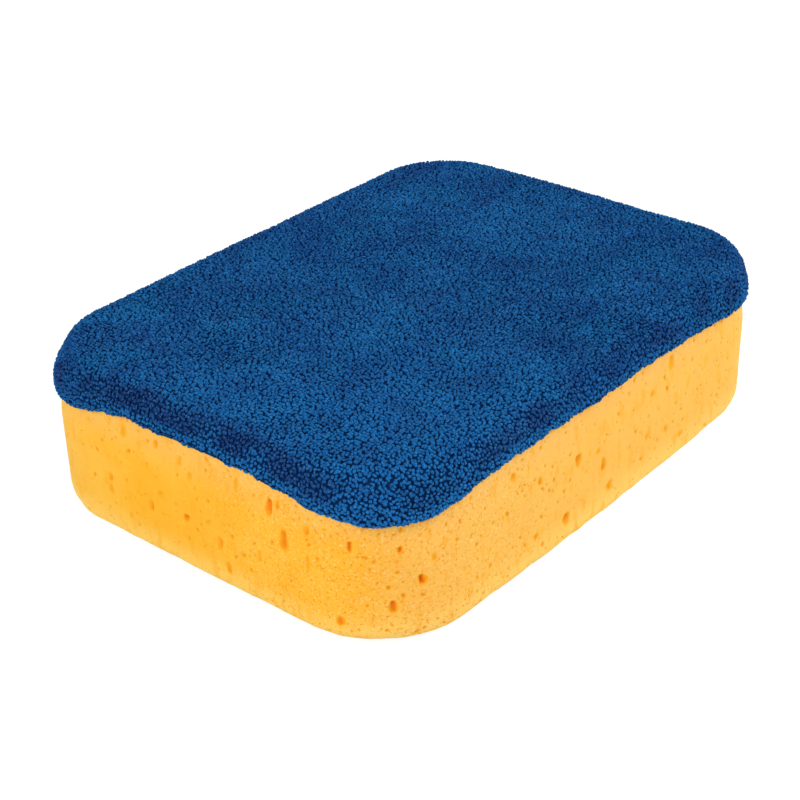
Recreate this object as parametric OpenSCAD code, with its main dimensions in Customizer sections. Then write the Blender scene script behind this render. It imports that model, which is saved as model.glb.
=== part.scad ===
// Cleaning sponge: a block of soft open-cell foam with rounded corners, capped by a
// loop-pile microfibre cloth that is drawn down over its rounded top edge.
// The origin is the middle of the underside, +X runs along the length and +Z points up.

/* [Foam block] */
// Length of the foam block
foam_length = 190; // [150:1:240]
// Width of the foam block
foam_width = 140; // [110:1:170]
// Radius of the four upright corners, seen from above
corner_radius = 30; // [20:1:45]
// Rounding of the bottom edge
bottom_rounding = 5; // [2:0.5:8]

/* [Microfibre cloth] */
// Height of the whole sponge, from the underside to the top of the pile
sponge_height = 51; // [44:0.5:70]
// Thickness of the cloth with its pile
cloth_thickness = 3; // [2:0.25:4]
// How far the cloth stands out past the foam wall
cloth_overhang = 1.2; // [0.8:0.1:1.8]
// Rounding of the cloth's top edge
top_rounding = 10; // [8:0.5:12]
// How far the cloth comes down from the top at the middle of each side
cloth_drop = 9.5; // [7:0.5:14]
// How much lower its hem hangs at the corners
hem_dip = 5; // [3:0.5:8]

/* [Pores] */
// Number of open pores in the two walls at the back
back_pores = 34; // [12:1:60]
// Number of open pores in the underside
underside_pores = 48; // [12:1:80]
// Width of the narrowest pore that a rule places
pore_width_min = 1.4; // [1:0.1:2]
// Width of the widest pore that a rule places
pore_width_max = 3; // [2.4:0.1:3.6]
// Foam left between a pore and the edge of its face
pore_margin = 2; // [1:0.25:4]
// Radius of the solid patch in the middle of the underside
solid_patch = 8; // [5:1:12]

/* [Hidden] */
$fn = 48;
// Facets round the hem's very large arches
arch_facets = 720;
// Facets round a pore
pore_facets = 16;
// Clearance by which a cutting body runs past what it cuts
past = 1;
// How far a pore's middle lies outside its face, as a share of its width
pore_proud = 0.12;

hem_height = sponge_height - cloth_drop;
hem_low = hem_height - hem_dip;
core_inset = cloth_thickness - cloth_overhang;

// The wall is measured along its foot, round corners included, anticlockwise from the
// middle of the corner at -X -Y. A leg is one side with half a corner at each end.
quarter_turn = PI * corner_radius / 2;
long_run = foam_length - 2 * corner_radius;
short_run = foam_width - 2 * corner_radius;
long_leg = long_run + quarter_turn;
short_leg = short_run + quarter_turn;

// The pores that show most on the two front walls, as seen on the real sponge: how far
// along the wall (negative along the short side), height of the middle, width, tallness
front_pores = [
    [-95.5, 20, 2.2, 3], [-95.5, 16, 2.2, 3.5], [-89, 36.5, 2.8, 3.6], [-88.5, 10, 1.8, 2.4],
    [-79.5, 17, 2.2, 3.4], [-80, 29.5, 1.6, 2.2], [-76.5, 37, 1.6, 2.6], [-75, 22, 2.4, 3],
    [-67.5, 35.5, 1.6, 3.2], [-65.5, 18.5, 2.2, 2.4], [-63.5, 32, 2, 3], [-57, 20.5, 2.4, 2.4],
    [-53.5, 15.5, 2.6, 4], [-50.5, 9, 2.2, 3.6], [-46.5, 36, 2.2, 3.8], [-38.5, 18, 1.6, 4],
    [-35, 34, 2.2, 4.4], [-32, 36, 1.4, 2.8], [-29.5, 26.5, 3.2, 6.2], [-22, 32.5, 2, 2.8],
    [-21.5, 23, 2, 4.6], [-12.5, 8, 2.4, 3.2], [-9.5, 31, 1.4, 2.8], [1, 13, 1.8, 3.8],
    [3, 30, 1.4, 1.8], [9, 20, 2.4, 3.2], [12, 26, 1.6, 2.4], [43.5, 34, 2.6, 2.8],
    [54.5, 28, 1.8, 2.6], [53, 11, 2.2, 2.4], [67.5, 9, 3.4, 3.8], [72.5, 25.5, 2.8, 3.8],
    [82, 24, 2.4, 2.4], [85, 18.5, 2.4, 4.4], [89, 9.5, 2.8, 3.8], [107.5, 17, 2.6, 2.6],
    [109, 30, 2, 2], [118, 14.5, 2.8, 3], [120, 35, 3, 5], [126.5, 9, 2.6, 2.8]
];

// A repeatable number from 0 to 1 for item i of series k
function scatter(i, k) = let (wave = 43.7 * sin(i * 137.5 + k * 61.3)) wave - floor(wave);

// An even spread from 0 to 1 in which near neighbours lie far apart
function spread(i, step) = let (turn = i * step) turn - floor(turn);

function between(low, high, share) = low + (high - low) * share;

// Half of an upright section: it reaches out from the middle, with rounded outer corners
module half_section(reach, low, high, low_round, high_round) {
    difference() {
        translate([0, low]) square([reach, high - low]);
        if (low_round > 0)
            translate([reach - low_round, low + low_round]) mirror([0, 1]) outside_round(low_round);
        translate([reach - high_round, high - high_round]) outside_round(high_round);
    }
}

// What a rounding takes off a square corner, with the middle of the round at the origin
module outside_round(radius) {
    difference() {
        square(radius + past);
        circle(radius);
    }
}

// A block with upright round corners, and with a rounded bottom and top edge
module rounded_block(length, width, radius, low, high, low_round, high_round) {
    half_long = length / 2 - radius;
    half_short = width / 2 - radius;
    for (q = [[1, 1, 0], [-1, 1, 90], [-1, -1, 180], [1, -1, 270]])
        translate([q[0] * half_long, q[1] * half_short, 0]) rotate(q[2])
            rotate_extrude(angle = 90) half_section(radius, low, high, low_round, high_round);
    for (turn = [0, 180]) rotate(turn) {
        translate([-half_long, 0, 0]) rotate([90, 0, 90]) linear_extrude(2 * half_long)
            half_section(width / 2, low, high, low_round, high_round);
        translate([half_long, half_short, 0]) rotate([90, 0, 0]) linear_extrude(2 * half_short)
            half_section(radius, low, high, low_round, high_round);
    }
}

// All that lies below one arched hem line, which spans the given length
module arch(span, depth) {
    half = span / 2;
    radius = (half * half + hem_dip * hem_dip) / (2 * hem_dip);
    translate([0, 0, hem_height - radius]) rotate([90, 0, 0])
        cylinder(h = depth + 2 * past, r = radius, center = true, $fn = arch_facets);
}

// All that lies below the hem of the cloth
module below_hem() {
    cloth_length = foam_length + 2 * cloth_overhang;
    cloth_width = foam_width + 2 * cloth_overhang;
    arch(cloth_length, cloth_width);
    rotate(90) arch(cloth_width, cloth_length);
}

// The part of the foam that the cloth is stretched over
module core() {
    rounded_block(
        foam_length - 2 * core_inset, foam_width - 2 * core_inset, corner_radius - core_inset,
        bottom_rounding + past, sponge_height - cloth_thickness,
        0, top_rounding - cloth_thickness
    );
}

// Which side a place along the wall is on: 0 and 2 are the long ones, 1 and 3 the short
function side_at(loop) =
    let (half_way = long_leg + short_leg, in_half = loop % half_way)
    2 * floor(loop / half_way) + (in_half < long_leg ? 0 : 1);

function run_of(side) = side % 2 == 0 ? long_run : short_run;

// How far a place along the wall is past the middle of its side
function past_middle(loop, side) =
    (loop % (long_leg + short_leg)) - (side % 2 == 0 ? 0 : long_leg)
        - (run_of(side) + quarter_turn) / 2;

// The place along the wall, counted as positive all the way round
function looped(along) =
    let (whole = 2 * (long_leg + short_leg)) along - whole * floor(along / whole);

// How far a place is from the nearest line where a flat wall turns into a corner
function gap_to_turn(along) =
    let (loop = looped(along), side = side_at(loop))
    abs(abs(past_middle(loop, side)) - run_of(side) / 2);

// Puts its children on the wall, with their -Y axis facing straight out of it
module on_wall(along, height) {
    loop = looped(along);
    side = side_at(loop);
    half_run = run_of(side) / 2;
    reach = side % 2 == 0 ? foam_width / 2 : foam_length / 2;
    moved = past_middle(loop, side);
    bend = sign(moved) * max(abs(moved) - half_run, 0) / corner_radius * 180 / PI;
    straight = sign(moved) * min(abs(moved), half_run);
    rotate(90 * side) translate([straight, corner_radius - reach, height])
        rotate(bend) translate([0, -corner_radius, 0]) children();
}

// An open cell: a round-ended hollow that stands along Z and opens towards -Y. Its middle
// lies a little outside the face, so that it is shallow and its rim is soft.
module pore(wide, tall) {
    half_gap = (tall - wide) / 2;
    translate([0, -pore_proud * wide, 0]) {
        if (half_gap > 0) cylinder(h = 2 * half_gap, d = wide, center = true, $fn = pore_facets);
        for (end = half_gap > 0 ? [-1, 1] : [0])
            translate([0, 0, end * half_gap]) sphere(d = wide, $fn = pore_facets);
    }
}

// The pores that show on the two front walls
module front_wall_pores() {
    for (p = front_pores) on_wall(p[0], p[1]) pore(p[2], p[3]);
}

// The pores of the two back walls, in the same mix of sizes, clear of the turning lines
module back_wall_pores() {
    stretch = short_leg + long_leg;
    low = bottom_rounding + pore_margin;
    high = hem_low - pore_margin;
    for (i = [0 : back_pores - 1]) {
        wide = between(pore_width_min, pore_width_max, pow(scatter(i, 1), 2));
        tall = wide * between(1.1, 1.9, scatter(i, 2));
        along = long_leg + stretch * (i + 0.5) / back_pores;
        height = between(low + tall / 2, high - tall / 2, spread(i, 0.618));
        if (gap_to_turn(along) > 0.7 * wide) on_wall(along, height) pore(wide, tall);
    }
}

// The pores of the underside, which leave a solid patch in the middle
module bottom_pores() {
    reach_x = foam_length / 2 - corner_radius / 2 - pore_margin;
    reach_y = foam_width / 2 - corner_radius / 2 - pore_margin;
    for (i = [1 : underside_pores]) {
        x = reach_x * (2 * spread(i, 0.7549) - 1);
        y = reach_y * (2 * spread(i, 0.5698) - 1);
        wide = between(pore_width_min, pore_width_max, pow(scatter(i, 3), 2));
        tall = wide * between(1, 1.5, scatter(i, 4));
        if (norm([x, y]) > solid_patch + tall)
            translate([x, y, 0]) rotate(360 * scatter(i, 5)) rotate([90, 0, 0]) pore(wide, tall);
    }
}

// The foam: full width below the hem, drawn in under the cloth, with open pores
module foam_block() {
    color("#F6BC55") difference() {
        union() {
            core();
            intersection() {
                rounded_block(
                    foam_length, foam_width, corner_radius,
                    0, sponge_height - cloth_thickness, bottom_rounding, bottom_rounding
                );
                below_hem();
            }
        }
        front_wall_pores();
        back_wall_pores();
        bottom_pores();
    }
}

// The cloth: one thickness all over the top and the shoulder, down to its arched hem
module microfibre_cloth() {
    color("#1F5D99") difference() {
        rounded_block(
            foam_length + 2 * cloth_overhang, foam_width + 2 * cloth_overhang,
            corner_radius + cloth_overhang,
            hem_low - past, sponge_height, 0, top_rounding
        );
        core();
        below_hem();
    }
}

foam_block();
microfibre_cloth();
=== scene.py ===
import math

import bmesh
import bpy
import numpy as np
from mathutils import Matrix, Vector
from mathutils.geometry import delaunay_2d_cdt


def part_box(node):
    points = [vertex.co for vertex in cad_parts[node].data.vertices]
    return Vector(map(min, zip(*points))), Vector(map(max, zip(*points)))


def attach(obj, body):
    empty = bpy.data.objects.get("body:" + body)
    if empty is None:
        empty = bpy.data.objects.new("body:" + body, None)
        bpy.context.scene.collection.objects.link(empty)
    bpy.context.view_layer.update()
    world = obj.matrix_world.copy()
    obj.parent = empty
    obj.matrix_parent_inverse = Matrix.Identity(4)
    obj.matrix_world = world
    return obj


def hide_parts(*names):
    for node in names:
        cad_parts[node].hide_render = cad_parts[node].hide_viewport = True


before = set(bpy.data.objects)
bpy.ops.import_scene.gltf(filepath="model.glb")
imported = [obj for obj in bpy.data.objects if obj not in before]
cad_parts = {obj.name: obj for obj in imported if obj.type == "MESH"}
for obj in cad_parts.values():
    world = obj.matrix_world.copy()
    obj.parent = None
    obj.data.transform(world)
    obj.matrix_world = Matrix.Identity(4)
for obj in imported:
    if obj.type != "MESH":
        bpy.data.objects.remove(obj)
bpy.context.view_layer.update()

# Cleaning sponge: a block of open-cell foam with real pores in its skin, under a cloth
# whose loop pile is modelled nub by nub. Lengths are in millimetres until a mesh is made.
MM = 0.001
TAU = 2 * math.pi

# The block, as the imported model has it
foam_low, foam_high = [np.array(corner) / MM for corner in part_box("foam_block")]
cloth_low, cloth_high = [np.array(corner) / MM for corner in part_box("microfibre_cloth")]
LENGTH, WIDTH = (foam_high - foam_low)[:2]
TOP = cloth_high[2]
CORE_TOP = foam_high[2]
OVERHANG = (cloth_high[1] - cloth_low[1] - WIDTH) / 2
CORNER = 30.0
BOTTOM_ROUND = 5.0
CORE_INSET = 1.8
CORE_ROUND = 7.0

# The wall is measured along its foot, anticlockwise from the middle of the front corner
QUARTER = CORNER * math.pi / 2
LONG_RUN = LENGTH - 2 * CORNER
SHORT_RUN = WIDTH - 2 * CORNER
LONG_LEG = LONG_RUN + QUARTER
SHORT_LEG = SHORT_RUN + QUARTER
AROUND = 2 * (LONG_LEG + SHORT_LEG)
# The walls are cut open here to be laid flat, where no pore lies
CUT = LONG_LEG + QUARTER / 2
# How much longer the wall is laid flat than it is tall, for the rounding at its bottom
ROUNDING_LONGER = BOTTOM_ROUND * (math.pi / 2 - 1)
# The inner rectangle, about which the corners are rounded
HALF_LONG = LONG_RUN / 2
HALF_SHORT = SHORT_RUN / 2

# Height of the cloth's hem round the block: place along the wall, height
HEM_MARKS = [
    (0, 36.6), (6, 37.4), (12, 37.6), (18, 39.2), (24, 40.1), (34, 40.9), (60, 40.8),
    (85, 40.4), (105, 41.0), (122, 40.2), (140, 39.3), (152, 38.2), (165, 38.0),
    (178, 37.2), (192, 37.8), (206, 39.4), (222, 40.6), (240, 41.2), (262, 40.6),
    (282, 39.0), (304, 37.2), (322, 38.2), (340, 40.2), (372, 41.3), (410, 41.0),
    (446, 39.8), (466, 37.6), (480, 36.7), (496, 36.8), (510, 39.6), (521, 41.7),
    (534, 41.5), (560, 42.2), (580, 41.2), (591, 39.3), (600, 37.8),
]
# The hem is evened out over these offsets
HEM_BLUR = (-3, -1, 1, 3)
# Its ripple: height, and its waves as count round the wall, share and start
HEM_RIPPLE = 0.35
HEM_WAVES = [(43, 1.0, 1), (71, 0.7, 2), (117, 0.5, 0)]

# The cloth's pile: its height, its loops' spacing both ways, how far a loop strays from its
# place as a share of the spacing, and how many pieces the pile is made in
PILE = 1.05
PITCH_X = 1.1
PITCH_Y = 1.06
STRAY = 0.36
PILE_PIECES = 5
# A loop's size and height, least and most, as shares of the spacing and of the pile's
# height, how much longer than wide it is, how deep its foot is sunk, and its roughness
LOOP_SIZES = (0.7, 1.15)
LOOP_TALL = (0.74, 1.12)
LOOP_LONG = 1.3
LOOP_SUNK = 1.08
LOOP_ROUGH = 0.035
# A loop's rings, from its foot up: share of its height, half width as a share of its size,
# and how far out the ring lies on the flat map of its colours
NUB_SIDES = 5
NUB_RINGS = [(0.0, 0.36, 0.46), (0.45, 0.50, 0.34), (0.82, 0.36, 0.18)]
# How far above the lip the pile can be crushed, and where it stands apart on the flat
# cloth, with its reach both ways
CRUSHED_TALL = 12.0
APART_SPOT = (-68.0, -65.0)
APART_REACH = (20.0, 11.0)

# The cloth's form: its shoulder, its turned-in lip, which is longer along the cloth than it
# is tall, its gap to the foam's wall, and how far it is lowered to leave the loops room
SHOULDER_ACROSS = 8.0
SHOULDER_DOWN = 12.6
LIP_DOWN = 2.1
LIP_LONGER = 1.1
LIP_OUT = 0.35
CLOTH_SINK = 0.25
# Its soft waves: height, size, seed
CLOTH_WAVES = [(0.22, 21, 61), (0.10, 7, 62)]
# Its backing's mesh: points round each row, rows down the shoulder, grain on the flat top
BACKING_AROUND = 420
BACKING_ROWS = 16
BACKING_GRAIN = 2.2
# How far the cloth is pulled in: place along the wall, depth at the hem, depth half-way up
PULL_MARKS = [
    (0, 0, 0), (130, 0, 0), (150, 0.5, 0.2), (172, 1.1, 0.6), (200, 0.5, 0.2), (220, 0, 0),
    (440, 0, 0), (470, 0, 1.1), (488, 0, 1.1), (510, 0, 0),
]

# How far the foam is drawn in just under the hem, where the cloth grips it, and by how
# much its whole wall and its foot are drawn in: place along the wall, depth
WAIST = 1.2
WAIST_TALL = 12.0
WAIST_BELOW = 9.0
WALL_MARKS = [(0, 0), (135, 0), (165, 0.8), (200, 0.6), (230, 0)]
FOOT_TALL = 7.0
FOOT_RAGGED = 0.3
FOOT_MARKS = [
    (0, 0.9), (30, 0.2), (60, -0.8), (110, -0.6), (150, 0.3), (178, 1.2), (205, 0.5),
    (304, 1.0), (400, 0.3), (460, 1.0), (480, 1.3), (500, 0.3), (560, 0.5),
]
# All of that starts this far out from the inner rectangle, and is whole after this much more
DRAWN_FROM = 12.0
DRAWN_OVER = 14.0

# The pores that show most on the two front walls: how far along the wall (negative along
# the short side), height of the middle, width, tallness, and how deep each is and how much painted
# shade it gets
FRONT_PORES = [
    (-95.5, 20, 2.2, 3, 0.5), (-95.5, 16, 2.2, 3.5, 0.35), (-89, 36.5, 2.8, 3.6, 0.35),
    (-88.5, 10, 1.8, 2.4, 0.35), (-79.5, 17, 2.2, 3.4, 0.6), (-80, 29.5, 1.6, 2.2, 0.35),
    (-76.5, 37, 1.6, 2.6, 0.6), (-75, 22, 2.4, 3, 0.4), (-67.5, 35.5, 1.6, 3.2, 0.35),
    (-65.5, 18.5, 2.2, 2.4, 0.9), (-63.5, 32, 2, 3, 0.35), (-57, 20.5, 2.4, 2.4, 0.35),
    (-53.5, 15.5, 2.6, 4, 0.5), (-50.5, 9, 2.2, 3.6, 0.5), (-46.5, 36, 2.2, 3.8, 0.35),
    (-38.5, 18, 1.6, 4, 0.35), (-35, 34, 2.2, 4.4, 1), (-32, 36, 1.4, 2.8, 0.6),
    (-29.5, 26.5, 3.2, 6.2, 0.7), (-22, 32.5, 2, 2.8, 0.6), (-21.5, 23, 2, 4.6, 0.35),
    (-12.5, 8, 2.4, 3.2, 0.7), (-9.5, 31, 1.4, 2.8, 1), (1, 13, 1.8, 3.8, 1),
    (3, 30, 1.4, 1.8, 1), (9, 20, 2.4, 3.2, 1), (12, 26, 1.6, 2.4, 0.4),
    (43.5, 34, 2.6, 2.8, 0.5), (54.5, 28, 1.8, 2.6, 0.6), (53, 11, 2.2, 2.4, 0.5),
    (67.5, 9, 3.4, 3.8, 0.7), (72.5, 25.5, 2.8, 3.8, 0.7), (82, 24, 2.4, 2.4, 0.35),
    (85, 18.5, 2.4, 4.4, 0.6), (89, 9.5, 2.8, 3.8, 0.5), (107.5, 17, 2.6, 2.6, 0.35),
    (109, 30, 2, 2, 0.4), (118, 14.5, 2.8, 3, 0.35), (120, 35, 3, 5, 0.4),
    (126.5, 9, 2.6, 2.8, 0.35),
]
BACK_PORES = 34
UNDERSIDE_PORES = 48
PORE_NARROW = 1.4
PORE_WIDE = 3.0
PORE_MARGIN = 2.0
SOLID_PATCH = 8.0
HEM_LOW = 36.5
# How far a pore's middle stands out of the skin, as a share of its width
PORE_PROUD = 0.12
# Rings of a large pore and of a small one: share of the rim's reach, and of its painted shade
LARGE_RINGS = ((1.7, 0.0), (1.25, 0.16), (0.95, 0.5), (0.62, 0.86), (0.3, 1.0))
SMALL_RINGS = ((1.3, 0.0), (0.65, 0.42))
# Length of rim for each point of a ring, fewest and most points, the rim's waves as count
# round it and height, and how much deeper a pore is, and how much more painted shade it gets, on its
# heavy side
RIM_STEP = 0.5
RIM_POINTS = (6, 22)
RIM_WAVES = [(2, 0.11), (3, 0.09), (5, 0.06)]
HEAVY_SIDE = 0.4

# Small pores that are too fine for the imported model: how many are sought, tries for each,
# widths, room between two as a share of their widths and a gap, and gap to a larger pore
WALL_SPECKS = 2300
UNDERSIDE_SPECKS = 900
SPECK_TRIES = 8
SPECK_NARROW = 0.4
SPECK_WIDE = 1.35
SPECK_ROOM = 0.7
SPECK_GAP = 0.25
SPECK_CLEAR = 0.55

# Grain of the foam's mesh, how far its points stray as a share of it, and the distance
# within which points are joined
WALL_GRAIN = 1.05
UNDERSIDE_GRAIN = 1.7
HIDDEN_GRAIN = 4.0
JITTER = 0.22
WELD = 0.002
# Soft unevenness of the foam's skin: depth, size, seed
SKIN_SWELLS = [(0.10, 9, 21), (0.06, 2.6, 22), (0.05, 1.3, 23)]
# A length that counts as nothing
TINY = 1e-6


def smooth(share):
    """Eases from 0 to 1 as share goes from 0 to 1, and stays there on either side"""
    share = np.clip(share, 0, 1)
    return share * share * (3 - 2 * share)


def mixed(low, high, share):
    return low + (high - low) * share


def noise(points, size, seed):
    """Smooth noise from -1 to 1 whose swells are about size across"""
    cells = 24
    table = np.random.default_rng(seed).uniform(-1, 1, (cells, cells, cells))
    at = np.asarray(points, float) / size
    low = np.floor(at).astype(int)
    share = smooth(at - low)
    total = np.zeros(len(at))
    for corner in np.ndindex(2, 2, 2):
        weight = np.prod(np.where(corner, share, 1 - share), axis=1)
        i, j, k = ((low + corner) % cells).T
        total += weight * table[i, j, k]
    return total


def wall_place(along):
    """Points on the foot of the wall in plan, and the way that the wall faces there"""
    half_way = LONG_LEG + SHORT_LEG
    loop = np.mod(np.asarray(along, float), AROUND)
    half = np.floor(loop / half_way)
    in_half = loop - half * half_way
    short = in_half >= LONG_LEG
    run = np.where(short, SHORT_RUN, LONG_RUN)
    reach = np.where(short, LENGTH, WIDTH) / 2
    moved = in_half - short * LONG_LEG - (run + QUARTER) / 2
    straight = np.clip(moved, -run / 2, run / 2)
    bend = (moved - straight) / CORNER
    turn = (2 * half + short) * math.pi / 2
    x = straight + CORNER * np.sin(bend)
    y = CORNER - reach - CORNER * np.cos(bend)
    cos, sin = np.cos(turn), np.sin(turn)
    place = np.stack([x * cos - y * sin, x * sin + y * cos], -1)
    facing = np.stack([np.sin(bend + turn), -np.cos(bend + turn)], -1)
    return place, facing


def along_at(direction, clamped):
    """The place along the wall that lies straight out of a point on the inner rectangle"""
    angle = np.arctan2(direction[:, 0], -direction[:, 1])
    side = np.round(angle / (math.pi / 2))
    bend = angle - side * math.pi / 2
    side = np.mod(side, 4)
    turn = side * math.pi / 2
    straight = clamped[:, 0] * np.cos(turn) + clamped[:, 1] * np.sin(turn)
    run = np.where(side % 2 == 0, LONG_RUN, SHORT_RUN)
    start = np.choose(
        side.astype(int),
        [0, LONG_LEG, LONG_LEG + SHORT_LEG, 2 * LONG_LEG + SHORT_LEG],
    )
    return start + (run + QUARTER) / 2 + straight + bend * CORNER


def hem_height(along):
    """Height of the cloth's hem, which dips at the corners and ripples a little"""
    found = sum(round_interp(along + offset, HEM_MARKS) for offset in HEM_BLUR) / len(HEM_BLUR)
    turn = along / AROUND * TAU
    ripple = sum(share * np.sin(count * turn + start) for count, share, start in HEM_WAVES)
    return found + HEM_RIPPLE * ripple / sum(share for _, share, _ in HEM_WAVES)


def onto_inner(flat):
    """The nearest points of the inner rectangle"""
    return np.clip(flat, (-HALF_LONG, -HALF_SHORT), (HALF_LONG, HALF_SHORT))


def from_inner(flat):
    """Nearest point of the inner rectangle, distance and way from it, place along the wall"""
    clamped = onto_inner(flat)
    away = flat - clamped
    reach = np.linalg.norm(away, axis=1)
    facing = away / np.maximum(reach, TINY)[:, None]
    return clamped, reach, facing, along_at(facing, clamped)


def at_level(flat):
    """Flat points as points in space, at no height"""
    return np.column_stack([flat, np.zeros(len(flat))])


def flat_triangles(points, loop):
    """Triangles between flat points, inside a loop that names its points in turn"""
    edges = [(int(a), int(b)) for a, b in zip(loop, np.roll(loop, -1))]
    only_inside = 1
    found = delaunay_2d_cdt([Vector(p) for p in points], edges, [], only_inside, TINY)
    first = np.array([ids[0] if ids else -1 for ids in found[3]])
    return first[np.array(found[2])]


def jittered(low, high, step, seed):
    """Points on a grid of equilateral triangles, moved a little at random"""
    rng = np.random.default_rng(seed)
    rows = np.arange(low[1], high[1], step * math.sqrt(0.75))
    columns = np.arange(low[0], high[0], step)
    x, y = np.meshgrid(columns, rows)
    x = x + (np.arange(len(rows)) % 2)[:, None] * step / 2
    found = np.stack([x.ravel(), y.ravel()], -1)
    return found + rng.uniform(-JITTER, JITTER, found.shape) * step


class Shell:
    """Gathers patches of a mesh, each with its corners, triangles and values per point"""

    def __init__(self):
        self.points = []
        self.triangles = []
        self.values = []
        self.count = 0

    def add(self, points, triangles, value=0.0):
        self.points.append(points)
        self.triangles.append(np.asarray(triangles) + self.count)
        self.values.append(np.broadcast_to(value, len(points)).astype(float))
        self.count += len(points)

    def build(self, name, value_name):
        piece = mesh_piece(
            name,
            np.concatenate(self.points),
            np.concatenate(self.triangles),
            {value_name: np.concatenate(self.values)},
        )
        shape = bmesh.new()
        shape.from_mesh(piece.data)
        bmesh.ops.remove_doubles(shape, verts=shape.verts, dist=WELD * MM)
        shape.to_mesh(piece.data)
        shape.free()
        return piece


def mesh_piece(name, points, triangles, values):
    """An object with a smooth mesh of triangles, and a number at each point for each name"""
    mesh = bpy.data.meshes.new(name)
    mesh.vertices.add(len(points))
    mesh.vertices.foreach_set("co", (np.asarray(points) * MM).astype(np.float32).ravel())
    mesh.loops.add(3 * len(triangles))
    mesh.loops.foreach_set("vertex_index", np.asarray(triangles, np.int32).ravel())
    mesh.polygons.add(len(triangles))
    mesh.polygons.foreach_set("loop_start", np.arange(0, 3 * len(triangles), 3, dtype=np.int32))
    mesh.polygons.foreach_set("use_smooth", np.ones(len(triangles), bool))
    mesh.update(calc_edges=True)
    for key, found in values.items():
        layer = mesh.attributes.new(key, "FLOAT", "POINT")
        layer.data.foreach_set("value", np.asarray(found, np.float32))
    piece = bpy.data.objects.new(name, mesh)
    bpy.context.scene.collection.objects.link(piece)
    return piece


# The pores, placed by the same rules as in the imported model


def scatter(i, k):
    wave = 43.7 * math.sin(math.radians(i * 137.5 + k * 61.3))
    return wave - math.floor(wave)


def spread(i, step):
    return i * step - math.floor(i * step)


def strength_of(i):
    """How deep a pore of the rule is, and how much painted shade it gets"""
    return mixed(0.3, 1, scatter(i, 6) ** 2)


def gap_to_turn(along):
    """How far a place is from the nearest line where a flat wall turns into a corner"""
    in_half = along % (LONG_LEG + SHORT_LEG)
    run = LONG_RUN if in_half < LONG_LEG else SHORT_RUN
    start = 0 if in_half < LONG_LEG else LONG_LEG
    return abs(abs(in_half - start - (run + QUARTER) / 2) - run / 2)


def wall_pores():
    """Rows of place along the wall, height, width, tallness, tilt and strength"""
    rows = [(along % AROUND, up, wide, tall, 0.0, deep) for along, up, wide, tall, deep in FRONT_PORES]
    low = BOTTOM_ROUND + PORE_MARGIN
    high = HEM_LOW - PORE_MARGIN
    for i in range(BACK_PORES):
        wide = mixed(PORE_NARROW, PORE_WIDE, scatter(i, 1) ** 2)
        tall = wide * mixed(1.1, 1.9, scatter(i, 2))
        along = LONG_LEG + (SHORT_LEG + LONG_LEG) * (i + 0.5) / BACK_PORES
        up = mixed(low + tall / 2, high - tall / 2, spread(i, 0.618))
        if gap_to_turn(along) > 0.7 * wide:
            rows.append((along, up, wide, tall, 0.0, strength_of(i)))
    return np.array(rows)


def underside_pores():
    """Rows of x, y, width, tallness, tilt and strength"""
    reach_x = LENGTH / 2 - CORNER / 2 - PORE_MARGIN
    reach_y = WIDTH / 2 - CORNER / 2 - PORE_MARGIN
    rows = []
    for i in range(1, UNDERSIDE_PORES + 1):
        x = reach_x * (2 * spread(i, 0.7549) - 1)
        y = reach_y * (2 * spread(i, 0.5698) - 1)
        wide = mixed(PORE_NARROW, PORE_WIDE, scatter(i, 3) ** 2)
        tall = wide * mixed(1, 1.5, scatter(i, 4))
        if math.hypot(x, y) > SOLID_PATCH + tall:
            rows.append((x, y, wide, tall, TAU * scatter(i, 5), strength_of(i)))
    return np.array(rows)


def gap_to_pore(points, pore):
    """Distance of flat points from the middle line of a pore"""
    x, y, wide, tall, tilt, _ = pore
    half = (tall - wide) / 2
    axis = np.array([-math.sin(tilt), math.cos(tilt)])
    away = points - (x, y)
    nearest = np.clip(away @ axis, -half, half)
    return np.linalg.norm(away - nearest[:, None] * axis, axis=1)


def specks(count, pores, inside, low, high, weigh, seed):
    """Small pores at random, clear of the edges, of the larger pores and of each other"""
    rng = np.random.default_rng(seed)
    kept = []
    many = count * SPECK_TRIES
    tries = rng.uniform(low, high, (many, 2))
    widths = mixed(SPECK_NARROW, SPECK_WIDE, rng.uniform(0, 1, many) ** 3)
    tallness = widths * rng.uniform(1, 1.5, many)
    tilts = rng.normal(0, 0.5, many)
    deeps = rng.uniform(0.25, 1, many)
    likely = rng.uniform(0, 1, many) < weigh(tries)
    clear = inside(tries, 1.0) & likely
    for pore in pores:
        clear &= gap_to_pore(tries, pore) > pore[2] / 2 + SPECK_CLEAR + widths / 2
    taken = np.zeros((0, 2))
    taken_widths = np.zeros(0)
    for i in np.flatnonzero(clear):
        gaps = np.linalg.norm(taken - tries[i], axis=1)
        if (gaps < (taken_widths + widths[i]) * SPECK_ROOM + SPECK_GAP).any():
            continue
        kept.append((*tries[i], widths[i], tallness[i], tilts[i], deeps[i]))
        taken = np.vstack([taken, tries[i]])
        taken_widths = np.append(taken_widths, widths[i])
        if len(kept) == count:
            break
    return np.array(kept)


def pore_depth(gap, wide):
    """Depth of a pore's bowl at a distance from its middle line"""
    round_part = np.sqrt(np.maximum((wide / 2) ** 2 - gap ** 2, 0))
    return np.maximum(round_part - PORE_PROUD * wide, 0)


def rings_of(wide):
    return SMALL_RINGS if wide < PORE_NARROW else LARGE_RINGS


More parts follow.
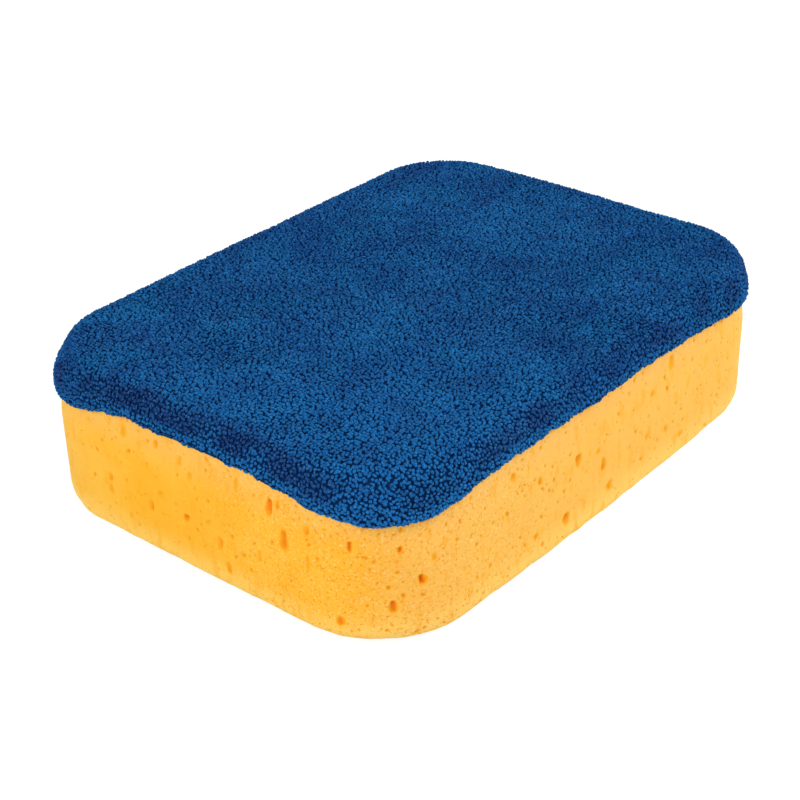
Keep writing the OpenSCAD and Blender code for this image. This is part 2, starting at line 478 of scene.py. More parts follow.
def pore_rings(pore, rng):
    """Flat points of a pore's rings, with each point's depth and its share of painted shade"""
    x, y, wide, tall, tilt, strength = pore
    rim = wide * math.sqrt(0.25 - PORE_PROUD ** 2)
    half = max((tall - wide) / 2, 0)
    sink = mixed(0.1, 1.05, strength ** 2)
    count = int(np.clip(round((TAU * rim + 4 * half) / RIM_STEP), *RIM_POINTS))
    phase, *starts, heavy_side = rng.uniform(0, TAU, len(RIM_WAVES) + 2)
    points, depths, painted_shades = [], [], []
    for level, (share, painted_shade) in enumerate(rings_of(wide)):
        angle = TAU * (np.arange(count) + 0.5 * (level % 2)) / count + phase
        uneven = 1
        for (waves, height), start in zip(RIM_WAVES, starts):
            uneven = uneven + height * np.sin(waves * angle + start)
        ring = share * rim * uneven[:, None] * np.stack([np.cos(angle), np.sin(angle)], -1)
        ring[:, 1] += half * np.tanh(2.5 * np.sin(angle))
        points.append(ring)
        soft_rim = 0.06 * wide * (1.4 - share)
        uneven_side = 1 + HEAVY_SIDE * np.cos(angle - heavy_side)
        depths.append(sink * (pore_depth(share * rim, wide) + soft_rim) * uneven_side)
        painted_shades.append(painted_shade * uneven_side)
    spine = [-0.8, 0, 0.8] if half > 0.35 else [0]
    points.append(np.array([[0, half * step] for step in spine]))
    depths.append(np.full(len(spine), sink * (pore_depth(0, wide) + 0.08 * wide)))
    painted_shades.append(np.ones(len(spine)))
    points = np.concatenate(points)
    cos, sin = math.cos(tilt), math.sin(tilt)
    turned = points @ np.array([[cos, sin], [-sin, cos]])
    return turned + (x, y), np.concatenate(depths), np.concatenate(painted_shades) * strength


def pored_patch(loop_points, grain, pores, inside, low, high, seed):
    """Flat points and triangles of a face with pores, and each point's depth and painted shade"""
    rng = np.random.default_rng(seed)
    background = jittered(low, high, grain, seed)
    keep = inside(background, 0.55 * grain)
    for pore in pores:
        reach = pore[2] / 2 * rings_of(pore[2])[0][0]
        near = np.abs(background - pore[:2]).max(1) < reach + pore[3] + 1
        spots = np.flatnonzero(near & keep)
        keep[spots] = gap_to_pore(background[spots], pore) > reach + 0.3 * grain
    background = background[keep]
    points, depths, painted_shades = [loop_points, background], [], []
    plain = len(loop_points) + len(background)
    depths.append(np.zeros(plain))
    painted_shades.append(np.zeros(plain))
    for pore in pores:
        ring, deep, painted_shade = pore_rings(pore, rng)
        points.append(ring)
        depths.append(deep)
        painted_shades.append(painted_shade)
    points = np.concatenate(points)
    triangles = flat_triangles(points, np.arange(len(loop_points)))
    return points, triangles, np.concatenate(depths), np.concatenate(painted_shades)


def wall_point(along, up, sunk):
    """Points of the foam's wall: up runs from the start of the bottom rounding"""
    place, facing = wall_place(along)
    round_long = BOTTOM_ROUND * math.pi / 2
    angle = np.clip(up / BOTTOM_ROUND, 0, math.pi / 2)
    height = BOTTOM_ROUND * (1 - np.cos(angle)) + np.maximum(up - round_long, 0)
    inset = BOTTOM_ROUND * (1 - np.sin(angle))
    out = np.sin(angle)
    down = np.cos(angle)
    plan = place - facing * (inset + sunk * out)[:, None]
    return np.column_stack([plan, height + sunk * down])


def round_interp(along, marks, column=1):
    """A value between marks that run all round the wall"""
    places, values = np.array(marks, float).T[[0, column]]
    return np.interp(np.mod(along, AROUND), places, values, period=AROUND)


def drawn_in(points):
    """Foam points after the cloth's grip on the waist and the weight on the foot"""
    _, reach, facing, along = from_inner(points[:, :2])
    waist = WAIST * smooth((points[:, 2] - (HEM_LOW - WAIST_BELOW)) / WAIST_TALL)
    ragged = FOOT_RAGGED * noise(points, size=4.5, seed=24)
    foot = (round_interp(along, FOOT_MARKS) + ragged) * smooth((FOOT_TALL - points[:, 2]) / FOOT_TALL)
    wall = round_interp(along, WALL_MARKS)
    inwards = (waist + foot + wall) * smooth((reach - DRAWN_FROM) / DRAWN_OVER)
    moved = points.copy()
    moved[:, :2] -= facing * inwards[:, None]
    return moved


def foam_relief(points):
    """How far the foam's skin is sunk by its soft unevenness"""
    return sum(depth * (1 + noise(points, size, seed)) for depth, size, seed in SKIN_SWELLS)


def front_share(flat):
    """Share of the small pores that is kept, which is larger round the front corner"""
    along = np.mod(flat[:, 0], AROUND)
    from_corner = np.minimum(along, AROUND - along)
    return mixed(1.0, 0.5, smooth((from_corner - 25) / 45))


def foam_walls(shell, edge_alongs):
    """The four walls and the rounding below them, laid flat, pored and bent round"""
    tops = hem_height(edge_alongs) + ROUNDING_LONGER
    side_ups = np.arange(1, int(tops[0])) / int(tops[0]) * tops[0]
    loop_points = np.concatenate([
        np.column_stack([edge_alongs, np.zeros(len(edge_alongs))]),
        np.column_stack([np.full(len(side_ups), edge_alongs[-1]), side_ups]),
        np.column_stack([edge_alongs, tops])[::-1],
        np.column_stack([np.full(len(side_ups), edge_alongs[0]), side_ups])[::-1],
    ])

    def inside(flat, margin):
        low_side = (flat[:, 0] > edge_alongs[0] + margin) & (flat[:, 0] < edge_alongs[-1] - margin)
        top = np.interp(flat[:, 0], edge_alongs, tops)
        return low_side & (flat[:, 1] > margin) & (flat[:, 1] < top - margin)

    pores = wall_pores()
    pores[:, 0] = CUT + np.mod(pores[:, 0] - CUT, AROUND)
    pores[:, 1] += ROUNDING_LONGER
    low = (edge_alongs[0], 0)
    high = (edge_alongs[-1], tops.max())
    small = specks(WALL_SPECKS, pores, inside, low, high, front_share, seed=31)
    flat, triangles, depth, painted_shade = pored_patch(
        loop_points, WALL_GRAIN, np.vstack([pores, small]), inside, low, high, seed=41
    )
    smooth_skin = wall_point(flat[:, 0], flat[:, 1], np.zeros(len(flat)))
    sunk = depth + foam_relief(smooth_skin)
    shell.add(drawn_in(wall_point(flat[:, 0], flat[:, 1], sunk)), triangles, painted_shade)


def foam_underside(shell, edge_alongs):
    """The face that the sponge lies on"""
    place, facing = wall_place(edge_alongs[:-1])
    rim = place - facing * BOTTOM_ROUND

    def inside(flat, margin):
        return np.linalg.norm(flat - onto_inner(flat), axis=1) < CORNER - BOTTOM_ROUND - margin

    pores = underside_pores()
    low = rim.min(0)
    high = rim.max(0)
    small = specks(UNDERSIDE_SPECKS, pores, inside, low, high, lambda p: np.ones(len(p)), seed=32)
    flat, triangles, depth, painted_shade = pored_patch(
        rim, UNDERSIDE_GRAIN, np.vstack([pores, small]), inside, low, high, seed=42
    )
    level = at_level(flat)
    level[:, 2] = depth + foam_relief(level)
    shell.add(drawn_in(level), triangles[:, ::-1], painted_shade)


def core_rows(alongs, steps):
    """Rows of points up the part of the foam under the cloth, from the hem to the top"""
    place, facing = wall_place(alongs)
    hem = hem_height(alongs)
    rows = []
    for k in range(steps + 1):
        height = mixed(hem, CORE_TOP, math.sin(k / steps * math.pi / 2))
        past = np.clip(height - (CORE_TOP - CORE_ROUND), 0, CORE_ROUND)
        inset = CORE_INSET + CORE_ROUND - np.sqrt(CORE_ROUND ** 2 - past ** 2)
        rows.append(np.column_stack([place - facing * inset[:, None], height]))
    return rows


def band(shell, rows):
    """Joins closed rows of points, each to the next, the first being the lowest"""
    count = len(rows[0])
    here = np.arange(count)
    after = np.roll(here, -1)
    triangles = []
    for k in range(len(rows) - 1):
        a, b = k * count + here, k * count + after
        c, d = a + count, b + count
        triangles.append(np.column_stack([a, b, d]))
        triangles.append(np.column_stack([a, d, c]))
    shell.add(np.concatenate(rows), np.concatenate(triangles))


def cap(shell, rim, grain, lift, seed, up=True):
    """Closes a round-cornered rim with a level face, lifted by a function of its points"""
    radius = np.linalg.norm(rim[0, :2] - onto_inner(rim[0, :2]))
    flat = jittered(rim.min(0)[:2], rim.max(0)[:2], grain, seed)
    flat = flat[np.linalg.norm(flat - onto_inner(flat), axis=1) < radius - 0.6 * grain]
    points = np.concatenate([rim[:, :2], flat])
    triangles = flat_triangles(points, np.arange(len(rim)))
    heights = np.concatenate([rim[:, 2], lift(flat)])
    shell.add(np.column_stack([points, heights]), triangles if up else triangles[:, ::-1])


def core_height(flat):
    """The level face, hidden between foam and cloth"""
    return np.full(len(flat), CORE_TOP)


def make_foam():
    shell = Shell()
    edge_alongs = CUT + np.linspace(0, AROUND, round(AROUND / WALL_GRAIN) + 1)
    foam_walls(shell, edge_alongs)
    foam_underside(shell, edge_alongs)
    # The ledge that the cloth's hem sits on starts on the wall's own uneven edge
    alongs = edge_alongs[:-1]
    tops = hem_height(alongs) + ROUNDING_LONGER
    plain = wall_point(alongs, tops, np.zeros(len(alongs)))
    edge = drawn_in(wall_point(alongs, tops, foam_relief(plain)))
    rows = core_rows(alongs, steps=5)
    band(shell, [edge] + rows)
    cap(shell, rows[-1], HIDDEN_GRAIN, core_height, seed=51)
    # The pore value at each point is its share of painted shade
    piece = shell.build("foam_body", "pore")
    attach(piece, "root")
    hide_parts("foam_block")
    return piece


# The cloth: a flat cut that is bent over the block, with its edge turned in under the pile


def shoulder_table():
    """Angles round the shoulder, with how far each is along the cloth from the flat top"""
    angles = np.linspace(0, math.pi / 2, 400)
    steps = np.hypot(SHOULDER_ACROSS * np.cos(angles), SHOULDER_DOWN * np.sin(angles))
    middle = (steps[1:] + steps[:-1]) / 2 * (angles[1] - angles[0])
    return angles, np.concatenate([[0], np.cumsum(middle)])


SHOULDER_ANGLES, SHOULDER_LONG = shoulder_table()
FLAT_REACH = CORNER + OVERHANG - SHOULDER_ACROSS


def bent(flat):
    """Points of the cloth's outer face for flat points, and how far each is into the lip"""
    clamped, reach, facing, along = from_inner(flat)
    hem = hem_height(along)
    # Down the shoulder, then straight down if the hem hangs below it
    past = reach - FLAT_REACH
    lip_top = hem + LIP_DOWN
    end_angle = np.arccos(np.clip(1 - (TOP - lip_top) / SHOULDER_DOWN, 0, 1))
    drop = np.maximum(TOP - SHOULDER_DOWN - lip_top, 0)
    end_past = np.interp(end_angle, SHOULDER_ANGLES, SHOULDER_LONG) + drop
    on_cloth = np.minimum(past, end_past)
    angle = np.interp(on_cloth, SHOULDER_LONG, SHOULDER_ANGLES)
    radius = np.minimum(reach, FLAT_REACH) + SHOULDER_ACROSS * np.sin(angle)
    radius -= round_interp(along, PULL_MARKS, 1) * np.sin(angle) ** 4
    radius -= round_interp(along, PULL_MARKS, 2) * np.sin(2 * angle) ** 2
    height = TOP - SHOULDER_DOWN * (1 - np.cos(angle))
    height = height - np.maximum(on_cloth - SHOULDER_LONG[-1], 0)
    # The lip turns in towards the foam
    lip_share = (past - end_past) / (LIP_DOWN * LIP_LONGER)
    turn = np.clip(lip_share, 0, 1) * math.pi / 2
    lip_in = np.maximum(radius - CORNER - LIP_OUT, 0.15)
    radius = radius - np.where(lip_share > 0, lip_in * (1 - np.cos(turn)), 0)
    height = height - LIP_DOWN * np.sin(turn)
    level = at_level(flat)
    wave = sum(tall * noise(level, size, seed) for tall, size, seed in CLOTH_WAVES)
    points = np.column_stack([clamped + facing * radius[:, None], height - CLOTH_SINK + wave])
    return points, lip_share


def cloth_frames(flat):
    """Points of the cloth's outer face, its directions along X and Y there, and its normal"""
    step = 0.05
    here, lip_share = bent(flat)
    by_x = bent(flat + (step, 0))[0] - bent(flat - (step, 0))[0]
    by_y = bent(flat + (0, step))[0] - bent(flat - (0, step))[0]
    normal = np.cross(by_x, by_y)
    normal /= np.maximum(np.linalg.norm(normal, axis=1), 1e-9)[:, None]
    by_x /= np.maximum(np.linalg.norm(by_x, axis=1), 1e-9)[:, None]
    by_y = np.cross(normal, by_x)
    return here, by_x, by_y, normal, lip_share


def flat_edge(alongs):
    """For each way out from the inner rectangle, where it starts and how far the cloth goes"""
    place, facing = wall_place(alongs)
    inner = place - facing * CORNER
    longest = 30
    halvings = 30
    low = np.full(len(alongs), FLAT_REACH)
    high = low + longest
    for _ in range(halvings):
        middle = (low + high) / 2
        over = bent(inner + facing * middle[:, None])[1] > 1
        low = np.where(over, low, middle)
        high = np.where(over, middle, high)
    return inner, facing, low


def make_cloth():
    """The backing: its outer face under the pile, its turned edge and its hidden inner face"""
    shell = Shell()
    alongs = CUT + np.linspace(0, AROUND, BACKING_AROUND, endpoint=False)
    inner, facing, reach = flat_edge(alongs)
    outer = []
    for k in range(BACKING_ROWS + 1):
        out = mixed(FLAT_REACH, reach, k / BACKING_ROWS)
        here, _, _, normal, _ = cloth_frames(inner + facing * out[:, None])
        outer.append(here - PILE * normal)
    rows = core_rows(alongs, steps=4)
    band(shell, rows[::-1] + outer[::-1])
    cap(shell, rows[-1], HIDDEN_GRAIN, core_height, seed=52, up=False)

    def skin_height(flat):
        return bent(flat)[0][:, 2] - PILE

    cap(shell, outer[0], BACKING_GRAIN, skin_height, seed=53)
    piece = shell.build("cloth_backing", "tip")
    corners = inner + facing * reach[:, None]
    x, y = corners.T
    flat_area = abs(np.sum(x * np.roll(y, -1) - np.roll(x, -1) * y)) / 2 * MM * MM
    flat_size = np.ptp(corners, axis=0) * MM
    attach(piece, "root")
    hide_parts("microfibre_cloth")
    return piece, flat_area, flat_size


def nub_form():
    """One loop of pile, as rings from its foot to its tip: points, triangles, flat map"""
    here = np.arange(NUB_SIDES)
    after = np.roll(here, -1)
    points = []
    flat = []
    for level, (up, wide, flat_wide) in enumerate(NUB_RINGS):
        angle = TAU * (here + 0.5 * (level % 2)) / NUB_SIDES
        ring = np.column_stack([np.cos(angle), np.sin(angle)])
        points.append(np.column_stack([wide * ring, np.full(NUB_SIDES, up)]))
        flat.append(0.5 + flat_wide * ring)
    points.append(np.array([[0, 0, 1.0]]))
    flat.append(np.array([[0.5, 0.5]]))
    points, flat = np.concatenate(points), np.concatenate(flat)
    triangles = []
    for level in range(len(NUB_RINGS) - 1):
        a, b = level * NUB_SIDES + here, level * NUB_SIDES + after
        c, d = a + NUB_SIDES, b + NUB_SIDES
        split = ([a, b, c], [c, b, d]) if level % 2 == 0 else ([a, d, c], [a, b, d])
        triangles += [np.column_stack(corners) for corners in split]
    last = (len(NUB_RINGS) - 1) * NUB_SIDES
    triangles.append(np.column_stack([last + here, last + after, np.full(NUB_SIDES, len(points) - 1)]))
    corners = flat[np.concatenate(triangles)]
    # The foot is closed by a fan, laid small in the free corner of the map
    fan = np.array([[0, k + 1, k] for k in range(1, NUB_SIDES - 1)])
    foot_flat = 0.91 + (flat[:NUB_SIDES] - 0.5) * 0.15
    triangles.append(fan)
    corners = np.concatenate([corners, foot_flat[fan]])
    return points, np.concatenate(triangles), corners


def flat_map(piece, corners, count):
    """Lays each loop of a piece in a square of its own, so that its colours can be baked"""
    across = math.ceil(math.sqrt(count))
    cell = np.arange(count)
    start = np.column_stack([cell % across, cell // across])
    spots = (corners[None] + start[:, None, None]) / across
    layer = piece.data.uv_layers.new(name="OFBake")
    layer.data.foreach_set("uv", spots.astype(np.float32).ravel())


def make_pile():
    """The loops of the pile, in rows along the cloth, as a few pieces side by side"""
    rng = np.random.default_rng(71)
    reach_x = HALF_LONG + FLAT_REACH + 24
    reach_y = HALF_SHORT + FLAT_REACH + 24
    x, y = np.meshgrid(np.arange(-reach_x, reach_x, PITCH_X), np.arange(-reach_y, reach_y, PITCH_Y))
    y = y + rng.uniform(0, PITCH_Y, x.shape[1])[None]
    flat = np.stack([x.ravel(), y.ravel()], -1)
    flat = flat + rng.uniform(-STRAY, STRAY, flat.shape) * (PITCH_X, PITCH_Y)
    here, by_x, by_y, normal, lip_share = cloth_frames(flat)
    keep = lip_share < 0.85 + rng.uniform(-0.12, 0.12, len(flat))
    flat, here, by_x, by_y, normal = flat[keep], here[keep], by_x[keep], by_y[keep], normal[keep]
    flattened = 1 - 0.4 * smooth(lip_share[keep] / 0.8)
    above_lip = -lip_share[keep] * LIP_DOWN * LIP_LONGER
    hem_share = 1 - smooth(above_lip / 2.5)
    count = len(flat)
    form, form_triangles, corners = nub_form()
    level = at_level(flat)
    drift = noise(level, size=16, seed=72) + 0.5 * noise(level, size=5, seed=73)
    spin = 0.35 * drift + rng.normal(0, 0.8, count)
    lean_way = 2.2 * noise(level, size=20, seed=74) + rng.normal(0, 1.0, count)
    lean = 0.25 + 0.16 * noise(level, size=9, seed=75) + rng.normal(0, 0.16, count)
    # The pile is crushed in patches along the bend of the shoulder, more on the left, and
    # stands apart beside the front corner
    bend_share = smooth((above_lip - 0.5) / 2.5) * smooth((CRUSHED_TALL - above_lip) / 5)
    patches = smooth(0.62 + 0.9 * noise(level, size=8, seed=76))
    patches = patches * mixed(0.65, 1, smooth(-flat[:, 0] / 70))
    scattered = smooth(2.2 * noise(level, size=8, seed=77) - 0.5)
    apart = smooth(1.4 - np.linalg.norm((flat - APART_SPOT) / APART_REACH, axis=1))
    crushed = np.maximum(bend_share * patches, 0.3 * scattered) * (1 - 0.7 * apart)
    slim = 1 - 0.04 * crushed - 0.08 * apart
    across = PITCH_X * rng.uniform(*LOOP_SIZES, count) * slim
    length = LOOP_LONG * PITCH_Y * rng.uniform(*LOOP_SIZES, count) * slim
    tall = PILE * rng.uniform(*LOOP_TALL, count) * flattened
    cos, sin = np.cos(spin)[:, None], np.sin(spin)[:, None]
    side = by_x * cos + by_y * sin
    run = by_y * cos - by_x * sin
    tilt = (by_x * np.cos(lean_way)[:, None] + by_y * np.sin(lean_way)[:, None]) * lean[:, None]
    foot = here - normal * PILE * LOOP_SUNK
    shape = (
        foot[:, None]
        + side[:, None] * (form[None, :, 0:1] * across[:, None, None])
        + run[:, None] * (form[None, :, 1:2] * length[:, None, None])
        + normal[:, None] * (form[None, :, 2:3] * tall[:, None, None])
        + tilt[:, None] * (form[None, :, 2:3] ** 2 * tall[:, None, None])
    )
    above_foot = form[None, :, 2:3] > 0
    shape += rng.normal(0, LOOP_ROUGH, shape.shape) * above_foot
    # Each point's height up its loop, which the material turns into painted shade towards the foot
    tip = np.broadcast_to(form[None, :, 2], (count, len(form)))
    tones = 0.5 + 0.2 * drift + rng.normal(0, 0.22, count) + 0.3 * hem_share
    tone = np.broadcast_to(tones[:, None], tip.shape)
    # The crushed share also darkens the pile's colour, partly as painted shade
    crush_and_shade = np.broadcast_to(crushed[:, None], tip.shape)
    order = np.argsort(flat[:, 0], kind="stable")
    pieces = []
    for k, chosen in enumerate(np.array_split(order, PILE_PIECES)):
        offsets = np.arange(len(chosen))[:, None, None] * len(form)
        piece = mesh_piece(
            f"cloth_pile_{k + 1}",
            shape[chosen].reshape(-1, 3),
            (form_triangles[None] + offsets).reshape(-1, 3),
            {
                "tip": tip[chosen].ravel(),
                "tone": tone[chosen].ravel(),
                "crush_and_shade": crush_and_shade[chosen].ravel(),
            },
        )
        flat_map(piece, corners, len(chosen))
        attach(piece, "root")
        pieces.append(piece)
    return pieces


# Materials


class Nodes:
    """Short calls for making and linking a material's nodes"""

    def __init__(self, name):
        self.material = bpy.data.materials.new(name)
        self.material.use_nodes = True
        self.tree = self.material.node_tree
        self.shader = self.tree.nodes["Principled BSDF"]

    def add(self, kind, **settings):
        node = self.tree.nodes.new(kind)
        for key, value in settings.items():
            setattr(node, key, value)
        return node

    def link(self, source, target):
        self.tree.links.new(source, target)

    def place(self):
        return self.add("ShaderNodeTexCoord").outputs["Object"]

    def value(self, name):
        return self.add("ShaderNodeAttribute", attribute_name=name).outputs["Fac"]

    def noise(self, scale, detail=2.0, roughness=0.5, upright=1.0):
        """Noise whose swells are upright times as tall as they are wide"""
        node = self.add("ShaderNodeTexNoise")
        node.inputs["Scale"].default_value = scale
        node.inputs["Detail"].default_value = detail
        node.inputs["Roughness"].default_value = roughness
        stretch = self.add("ShaderNodeVectorMath", operation="MULTIPLY")
        stretch.inputs[1].default_value = (1, 1, 1 / upright)
        self.link(self.place(), stretch.inputs[0])
        self.link(stretch.outputs[0], node.inputs["Vector"])
        return node.outputs["Fac"]

    def along(self, way):
        """How far a place is along a way out from the origin"""
        node = self.add("ShaderNodeVectorMath", operation="DOT_PRODUCT")
        self.link(self.place(), node.inputs[0])
        node.inputs[1].default_value = way
        return node.outputs["Value"]

    def gap(self, spot):
        """How far a place is from a spot"""
        node = self.add("ShaderNodeVectorMath", operation="DISTANCE")
        self.link(self.place(), node.inputs[0])
        node.inputs[1].default_value = spot
        return node.outputs["Value"]

    def ranged(self, source, low, high, to_low=0.0, to_high=1.0):
        node = self.add("ShaderNodeMapRange")
        node.interpolation_type = "SMOOTHSTEP"
        node.inputs["From Min"].default_value = low
        node.inputs["From Max"].default_value = high
        node.inputs["To Min"].default_value = to_low
        node.inputs["To Max"].default_value = to_high
        self.link(source, node.inputs["Value"])
        return node.outputs["Result"]

    def math(self, operation, first, second):
        node = self.add("ShaderNodeMath", operation=operation)
        for socket, value in zip(node.inputs, (first, second)):
            if isinstance(value, (int, float)):
                socket.default_value = value
            else:
                self.link(value, socket)
        return node.outputs[0]

    def mix(self, share, first, second):
        node = self.add("ShaderNodeMix", data_type="RGBA")
        colours = [s for s in node.inputs if s.type == "RGBA"]
        for socket, value in zip((node.inputs[0], *colours), (share, first, second)):
            if isinstance(value, (int, float)):
                socket.default_value = value
            elif isinstance(value, tuple):
                socket.default_value = (*value, 1.0)
            else:
                self.link(value, socket)
        return [s for s in node.outputs if s.type == "RGBA"][0]

    def bump(self, height, distance, strength):
        node = self.add("ShaderNodeBump")
        node.inputs["Distance"].default_value = distance
        node.inputs["Strength"].default_value = strength
        self.link(height, node.inputs["Height"])
        self.link(node.outputs["Normal"], self.shader.inputs["Normal"])


def linear(red, green, blue):
    """A colour as it looks on a screen, in steps from 0 to 255, as the shader takes it"""
    found = []
    for step in (red, green, blue):
        share = step / 255
        found.append(share / 12.92 if share <= 0.04045 else ((share + 0.055) / 1.055) ** 2.4)
    return tuple(found)


def foam_material():
    """Yellow foam: soft mottling, crumbs of cut cell wall, pinholes, painted shade in the pores, and
    painted light on the front, far left, foot and under the hem
    """
    m = Nodes("foam")
    shader = m.shader
    shader.inputs["Roughness"].default_value = 0.9
    shader.inputs["Specular IOR Level"].default_value = 0.2
    shader.inputs["Subsurface Weight"].default_value = 0.5
    shader.inputs["Subsurface Radius"].default_value = (1.0, 0.45, 0.15)
    shader.inputs["Subsurface Scale"].default_value = 0.0016
    mottle = m.ranged(m.noise(70, 3), 0.35, 0.65)
    body = m.mix(mottle, linear(250, 179, 40), linear(251, 186, 56))
    # Painted light: paler on the long front side and at the far left, where the lamps fall, and at the
    # foot, where light comes back off the floor
    front_painted_light = m.ranged(m.along((0, -1, 0)), 0.05, 0.069)
    body = m.mix(m.math("MULTIPLY", front_painted_light, 0.5), body, linear(252, 195, 108))
    far_left_painted_light = m.ranged(m.along((0, 1, 0)), 0.02, 0.062)
    body = m.mix(m.math("MULTIPLY", far_left_painted_light, 0.4), body, linear(254, 198, 104))
    foot = m.ranged(m.along((0, 0, 1)), 0.013, 0.002)
    body = m.mix(m.math("MULTIPLY", foot, 0.75), body, linear(255, 214, 112))
    # The skin is pinker and paler just under the hem, painted light that lifts the shade under the
    # cloth's edge, and coarser round the front corner
    hem_painted_light = m.ranged(m.along((0, 0, 1)), 0.028, 0.04)
    body = m.mix(m.math("MULTIPLY", hem_painted_light, 0.5), body, linear(255, 190, 106))
    coarse = m.ranged(m.gap((-0.079, -0.054, 0.028)), 0.07, 0.02, 0.12, 1.0)
    smears = m.ranged(m.noise(330, 2, 0.5, 2.2), 0.52, 0.7)
    body = m.mix(m.math("MULTIPLY", smears, 0.5), body, linear(247, 172, 28))
    crumbs = m.ranged(m.noise(1500, 3), 0.54, 0.7)
    crumbs = m.math("MULTIPLY", crumbs, m.math("MULTIPLY", coarse, 0.6))
    body = m.mix(crumbs, body, linear(255, 214, 140))
    grit = m.ranged(m.noise(1250, 3, 0.6), 0.45, 0.32)
    grit = m.math("MULTIPLY", grit, m.math("MULTIPLY", coarse, 0.8))
    body = m.mix(grit, body, linear(236, 142, 32))
    # Painted shade in the pores: the pore value deepens the foam to dark orange in its hollows
    pore = m.value("pore")
    body = m.mix(m.ranged(pore, 0.0, 0.4), body, linear(245, 170, 28))
    body = m.mix(m.ranged(pore, 0.3, 1.0), body, linear(238, 134, 20))
    m.link(body, shader.inputs["Base Color"])
    m.bump(m.noise(1500, 3), 0.00018, 0.5)
    return m.material


def pile_material():
    """Blue microfibre: zones of teal, violet painted shade where crushed, painted light, painted
    highlights, and painted shade towards each loop's foot and in the gaps between loops
    """
    m = Nodes("microfibre")
    shader = m.shader
    shader.inputs["Roughness"].default_value = 0.85
    shader.inputs["Specular IOR Level"].default_value = 0.08
    shader.inputs["Sheen Weight"].default_value = 0.08
    shader.inputs["Sheen Roughness"].default_value = 0.5
    shader.inputs["Sheen Tint"].default_value = (*linear(20, 130, 220), 1.0)
    teal = m.ranged(m.noise(60, 2), 0.4, 0.66)
    hue = m.mix(teal, linear(8, 62, 122), linear(5, 80, 134))
    light = m.ranged(m.value("tone"), 0.1, 1.1)
    hue = m.mix(m.math("MULTIPLY", light, 0.66), hue, linear(34, 118, 182))
    # Painted light: the pile is lighter round the front corner and down the shoulder
    full = m.ranged(m.gap((-0.085, -0.06, 0.046)), 0.1, 0.01)
    hue = m.mix(m.math("MULTIPLY", full, 0.45), hue, linear(28, 120, 190))
    down = m.ranged(m.along((0, 0, 1)), 0.05, 0.041)
    hue = m.mix(m.math("MULTIPLY", down, 0.3), hue, linear(26, 112, 182))
    # Darker and more violet where the pile is crushed: partly the crushed pile, partly painted shade
    # along the shoulder's bend
    hue = m.mix(m.math("MULTIPLY", m.value("crush_and_shade"), 0.75), hue, linear(26, 40, 98))
    # Painted highlights and painted shade on the fibres at the turn of each loop, in pale and dark
    # flecks
    painted_glint = m.ranged(m.noise(2100, 2, 0.6), 0.53, 0.66)
    hue = m.mix(m.math("MULTIPLY", painted_glint, 0.5), hue, linear(64, 138, 200))
    painted_shade = m.ranged(m.noise(1700, 2, 0.6), 0.47, 0.34)
    hue = m.mix(m.math("MULTIPLY", painted_shade, 0.7), hue, linear(3, 42, 98))
    # Painted shade: each loop darkens from its tip down to its foot, into the colour of the gaps
    # between loops
    shade = m.ranged(m.value("tip"), 0.1, 0.8)
    hue = m.mix(shade, m.mix(m.value("crush_and_shade"), linear(3, 44, 100), linear(6, 24, 70)), hue)
    m.link(hue, shader.inputs["Base Color"])
    m.bump(m.noise(4000, 2), 0.0001, 0.6)
    return m.material


def backing_material():
    m = Nodes("backing")
    m.shader.inputs["Roughness"].default_value = 0.9
    m.shader.inputs["Specular IOR Level"].default_value = 0.1
    weave = m.ranged(m.noise(900, 2), 0.35, 0.65)
    m.link(m.mix(weave, linear(3, 34, 82), linear(6, 46, 98)), m.shader.inputs["Base Color"])
    m.bump(m.noise(2400, 2), 0.0001, 0.6)
    return m.material


# Stage, light and camera


def make_floor():
    bpy.ops.mesh.primitive_plane_add(size=6, location=(0, 0, 0))
    floor = bpy.context.object
    floor.name = "floor"
    m = Nodes("floor")
    m.shader.inputs["Roughness"].default_value = 0.9
    m.shader.inputs["Specular IOR Level"].default_value = 0.0
    m.shader.inputs["Emission Color"].default_value = (1, 1, 1, 1)
    path = m.add("ShaderNodeLightPath")
    seen = m.math("MAXIMUM", path.outputs["Is Camera Ray"], path.outputs["Is Glossy Ray"])
    seen = m.math("MAXIMUM", seen, path.outputs["Is Transmission Ray"])
    m.link(m.mix(seen, (0.86, 0.86, 0.86), (0.3, 0.3, 0.3)), m.shader.inputs["Base Color"])
    m.link(m.math("MULTIPLY", seen, 0.84), m.shader.inputs["Emission Strength"])
    floor.data.materials.append(m.material)


def make_world():
    world = bpy.data.worlds.new("studio")
    bpy.context.scene.world = world
    world.use_nodes = True
    tree = world.node_tree
    background = tree.nodes["Background"]
    path = tree.nodes.new("ShaderNodeLightPath")
    seen = tree.nodes.new("ShaderNodeMath")
    seen.operation = "MAXIMUM"
    tree.links.new(path.outputs["Is Camera Ray"], seen.inputs[0])
    tree.links.new(path.outputs["Is Glossy Ray"], seen.inputs[1])
    strength = tree.nodes.new("ShaderNodeMapRange")
    strength.inputs["To Min"].default_value = 0.55
    strength.inputs["To Max"].default_value = 1.0
    tree.links.new(seen.outputs[0], strength.inputs["Value"])
    tree.links.new(strength.outputs["Result"], background.inputs["Strength"])
    background.inputs["Color"].default_value = (1, 1, 1, 1)


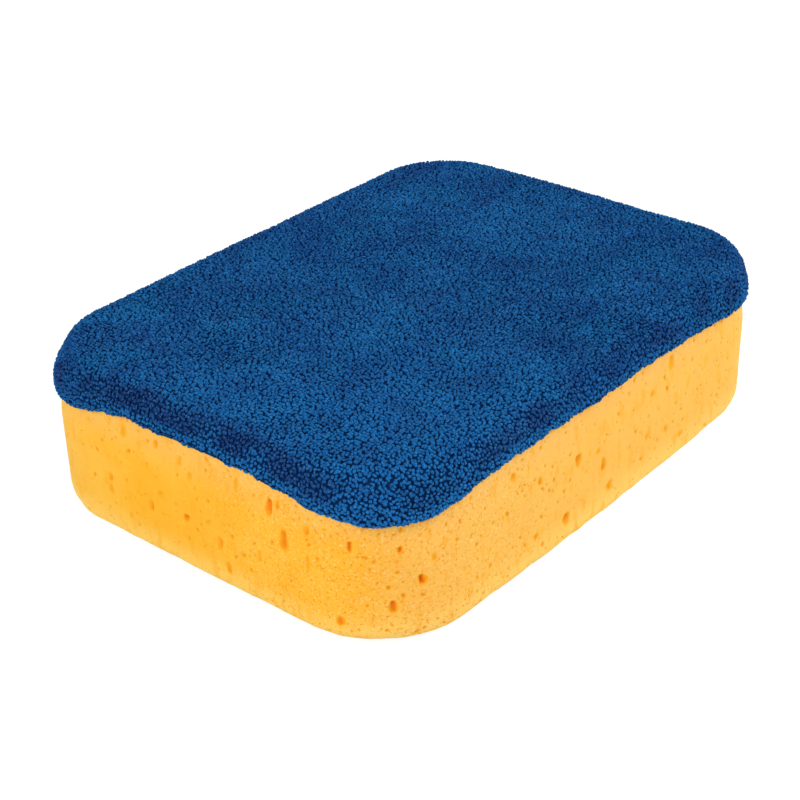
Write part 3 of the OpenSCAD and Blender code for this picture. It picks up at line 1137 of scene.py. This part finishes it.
def make_light(name, place, target, size, power):
    lamp = bpy.data.lights.new(name, "AREA")
    lamp.shape = "SQUARE"
    lamp.size = size
    lamp.energy = power
    light = bpy.data.objects.new(name, lamp)
    bpy.context.scene.collection.objects.link(light)
    light.location = place
    aim = Vector(target) - Vector(place)
    light.rotation_mode = "QUATERNION"
    light.rotation_quaternion = aim.to_track_quat("-Z", "Y")


# The camera, as worked out from the outline of the block in the photograph
CAMERA_AZIMUTH = -49.67
CAMERA_ELEVATION = 29.74
CAMERA_ROLL = -1.209
CAMERA_DISTANCE = 513.9
CAMERA_SIDE = -5.12
CAMERA_RISE = -10.64
CAMERA_TARGET_HEIGHT = 25.0
CAMERA_LENS = 76.84
CAMERA_SENSOR = 36.0


def make_camera():
    azimuth, elevation, roll = (
        math.radians(a) for a in (CAMERA_AZIMUTH, CAMERA_ELEVATION, CAMERA_ROLL)
    )
    back = Vector((
        math.sin(azimuth) * math.cos(elevation),
        -math.cos(azimuth) * math.cos(elevation),
        math.sin(elevation),
    ))
    level = Vector((math.cos(azimuth), math.sin(azimuth), 0))
    up = back.cross(level)
    right = level * math.cos(roll) + up * math.sin(roll)
    above = up * math.cos(roll) - level * math.sin(roll)
    eye = back * CAMERA_DISTANCE + right * CAMERA_SIDE + above * CAMERA_RISE
    eye += Vector((0, 0, CAMERA_TARGET_HEIGHT))
    data = bpy.data.cameras.new("camera")
    data.lens = CAMERA_LENS
    data.sensor_width = CAMERA_SENSOR
    data.clip_start = 0.01
    camera = bpy.data.objects.new("camera", data)
    bpy.context.scene.collection.objects.link(camera)
    turned = Matrix((right, above, back)).transposed().to_4x4()
    turned.translation = eye * MM
    camera.matrix_world = turned
    bpy.context.scene.camera = camera


make_camera()
make_world()
make_floor()
make_light("key", (0.55, -0.75, 0.75), (0, 0, 0.02), 0.5, 6.3)
make_light("fill", (-0.91, -0.07, 0.57), (0, 0, 0.02), 0.8, 5.3)
bpy.context.scene.view_settings.view_transform = "Standard"

foam = make_foam()
foam.data.materials.append(foam_material())
backing, flat_area, flat_size = make_cloth()
backing.data.materials.append(backing_material())
pile = make_pile()
microfibre = pile_material()
for piece in pile:
    piece.data.materials.append(microfibre)
